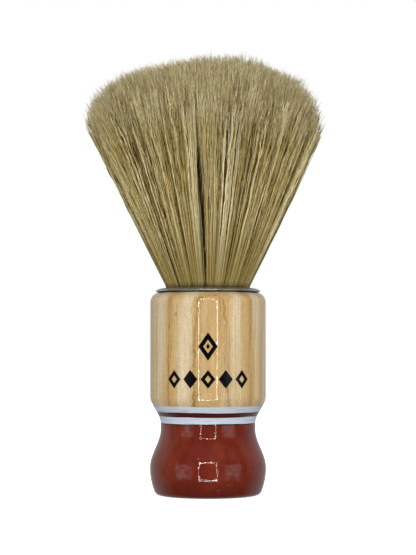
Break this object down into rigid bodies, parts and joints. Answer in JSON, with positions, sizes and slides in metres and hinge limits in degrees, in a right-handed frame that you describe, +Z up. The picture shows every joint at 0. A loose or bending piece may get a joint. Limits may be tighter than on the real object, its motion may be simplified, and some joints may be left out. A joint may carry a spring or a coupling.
{
  "type": "shaving brush",
  "caption": "Barber's shaving brush with a turned wooden handle, a lacquered foot with banded neck, an aluminium ferrule and a flared fan of natural bristle that flexes sideways.",
  "frame": {"origin": "centre of the foot's flat underside, on the surface that the brush stands on", "axes": "+Z up the brush's axis towards the bristle tips, -Y towards the front, +X to the right seen from the front"},
  "size_m": [0.0672, 0.0672, 0.1256],
  "materials": {
    "ash": "gloss",
    "white_lacquer": "satin",
    "dark_lacquer": "gloss",
    "brick_lacquer": "gloss",
    "adhesive": "gloss",
    "aluminium": "polished",
    "resin": "gloss",
    "twine": "matte",
    "boar_bristle": "satin"
  },
  "bodies": {
    "handle_body": {"handle": "ash", "upper_white_band": "white_lacquer", "dark_line": "dark_lacquer", "lower_white_band": "white_lacquer", "foot_lacquer": "brick_lacquer", "glue_bed": "adhesive", "ferrule": "aluminium", "resin_plug": "resin", "binding_twine": "twine", "bristle_root": "boar_bristle"},
    "bristles": {"bristle_head": "boar_bristle"}
  },
  "joints": [
    {"name": "head_flex", "type": "hinge", "parent": "handle_body", "child": "bristles", "pos_m": [0, 0, 0.06], "axis": [0, 1, 0], "range_deg": [-25, 25], "stiffness_Nm_per_rad": 0.3}
  ]
}
